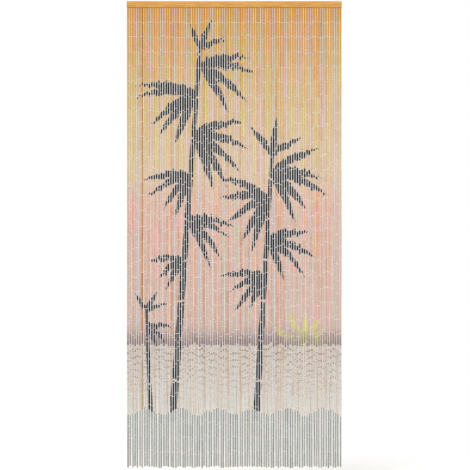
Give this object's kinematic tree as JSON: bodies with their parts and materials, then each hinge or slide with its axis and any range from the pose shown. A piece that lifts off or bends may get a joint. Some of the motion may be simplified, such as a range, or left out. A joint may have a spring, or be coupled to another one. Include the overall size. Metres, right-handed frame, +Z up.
{
  "type": "bamboo door curtain on a wooden head rail",
  "caption": "Door curtain of painted bamboo tube strands that hang side by side on wire links from a flat wooden head rail, shown hanging straight.",
  "frame": {"origin": "middle of the rail's back face, which lies against the wall or door frame", "axes": "+Z up along the strands, +X along the rail to the viewer's right, -Y towards the viewer of the painted front"},
  "size_m": [0.91, 0.014, 1.977],
  "materials": {
    "honey_wood": "clear satin varnish on a planed honey-coloured slat, with fine straight grain",
    "painted_bamboo": "thin matte paint on bamboo tubes, shading from amber through apricot and rose to pale sand and a grey hem, with the bare cut ends and steel wire eyes showing"
  },
  "bodies": {
    "root": {"head_rail": "honey_wood", "strands": "painted_bamboo"}
  },
  "joints": []
}
